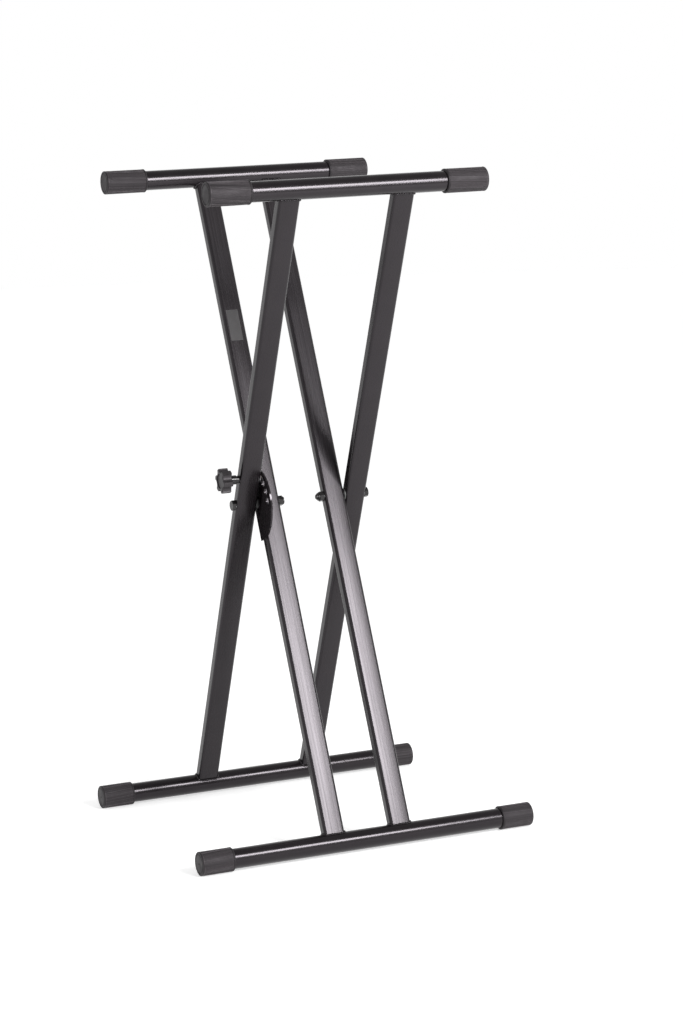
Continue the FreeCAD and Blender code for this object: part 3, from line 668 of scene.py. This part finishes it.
def addBeadRing(shape, lines, end, legY, seed):
    around = 2 * (bead["legDepth"] + legWidth) - (8 - 2 * math.pi) * bead["corner"]
    ripples = round(around / bead["ripplePitch"])
    stations = ripples * bead["partsPerRipple"]
    slowWave, fastWave = bead["lumpWaves"]
    made = bmesh.ops.create_grid(shape, x_segments=stations, y_segments=bead["sides"], size=1.0)
    for vert in made["verts"]:
        share = (vert.co.x + 1) / 2
        angle = math.pi * (vert.co.y + 1)
        centre = beadCentre(share, lines, end, legY)
        ahead = beadCentre(share + bead["step"], lines, end, legY)
        behind = beadCentre(share - bead["step"], lines, end, legY)
        heading = (ahead - behind).normalized()
        outward = heading.cross(lines["along"]).normalized()
        upward = outward.cross(heading)
        wave = abs(math.sin(math.pi * ripples * share))
        lump = math.sin(slowWave * math.pi * share + seed) * math.sin(fastWave * math.pi * share + 2 * seed)
        radius = bead["radius"] * (1 - bead["ripple"] * (1 - wave) + bead["lumps"] * lump)
        vert.co = centre + (outward * math.cos(angle) + upward * math.sin(angle)) * radius


def addWeldBeads(name, end):
    lines = frames[name]
    shape = bmesh.new()
    for number, place in enumerate(("front", "rear")):
        addBeadRing(shape, lines, end, lines[place], bead["seedStep"] * number + bead["seeds"][end])
    bmesh.ops.remove_doubles(shape, verts=shape.verts, dist=bead["mergeWithin"])
    bmesh.ops.recalc_face_normals(shape, faces=shape.faces)
    node = "%s_%s_welds" % (name, end)
    finishPiece(node + "_beads", shape, beadCoat, name + "_frame", (node,),
                bead["sharp"])


for name in frames:
    for end in ("arm", "foot"):
        addWeldBeads(name, end)
print("weld beads made")


label = {
    "width": 18.3 * millimetre,
    "length": 46.7 * millimetre,
    "thickness": 0.15 * millimetre,
    "abovePivot": 264.0 * millimetre,
    "sideways": -1.0 * millimetre,
    "corner": 0.6 * millimetre,
    "cornerSegments": 4,
    "ior": 1.45,
    "dark": (0.030, 0.027, 0.029, 1.0),
    "light": (0.038, 0.035, 0.037, 1.0),
    "cloudScale": 70.0,
    "cloudDetail": 3.0,
    "grainScale": 1400.0,
    "grainDetail": 2.0,
    "grainDepth": 0.00005,
    "grainStrength": 0.3,
    "roughness": (0.34, 0.44),
}


def addLabel():
    # the blank sticker on the inner frame's front leg
    material, tree, shader = startFinish("labelFilm", label)
    addSurface(tree, shader, label)
    lines = frames["inner"]
    shape = bmesh.new()
    bmesh.ops.create_grid(shape, x_segments=1, y_segments=1, size=0.5)
    bmesh.ops.scale(shape, vec=(label["width"], label["length"], 1.0), verts=shape.verts)
    bmesh.ops.bevel(shape, geom=list(shape.verts), offset=label["corner"], affect="VERTICES",
                    segments=label["cornerSegments"], profile=0.5, material=-1)
    raised = bmesh.ops.extrude_face_region(shape, geom=list(shape.faces))
    top = [item for item in raised["geom"] if isinstance(item, bmesh.types.BMVert)]
    bmesh.ops.translate(shape, vec=(0.0, 0.0, label["thickness"]), verts=top)
    bmesh.ops.recalc_face_normals(shape, faces=shape.faces)
    pivot = (lines["arm"] + lines["foot"]) / 2
    centre = pivot + lines["face"] * (bead["legDepth"] / 2) + lines["along"] * label["abovePivot"]
    centre.y = lines["front"] + label["sideways"]
    axes = Matrix((Vector((0, 1, 0)), lines["along"], lines["face"])).transposed()
    bmesh.ops.transform(shape, matrix=Matrix.Translation(centre) @ axes.to_4x4(), verts=shape.verts)
    finishPiece("blank_label", shape, material, "inner_frame")


addLabel()
print("label made")


def dress(node, material):
    for holder in nodes[node].material_slots:
        holder.material = material


def finishFor(node):
    slotName = next(part["material_slot"] for part in frame["record"]["subparts"] if part["node"] == node)
    if slotName in hardwareFinishes:
        return hardwareFinishes[slotName]
    if slotName == "knob_plastic":
        return knobPlastic
    if slotName == "rubber_sleeve":
        return sleeveRubber
    if node.endswith("_leg"):
        return legCoats[node]
    if node.startswith("height_plate"):
        return plateCoat
    if node.endswith("_welds"):
        return beadCoat
    return tubeCoat


for node in nodes:
    dress(node, finishFor(node))
print("finishes laid on the frame's nodes")
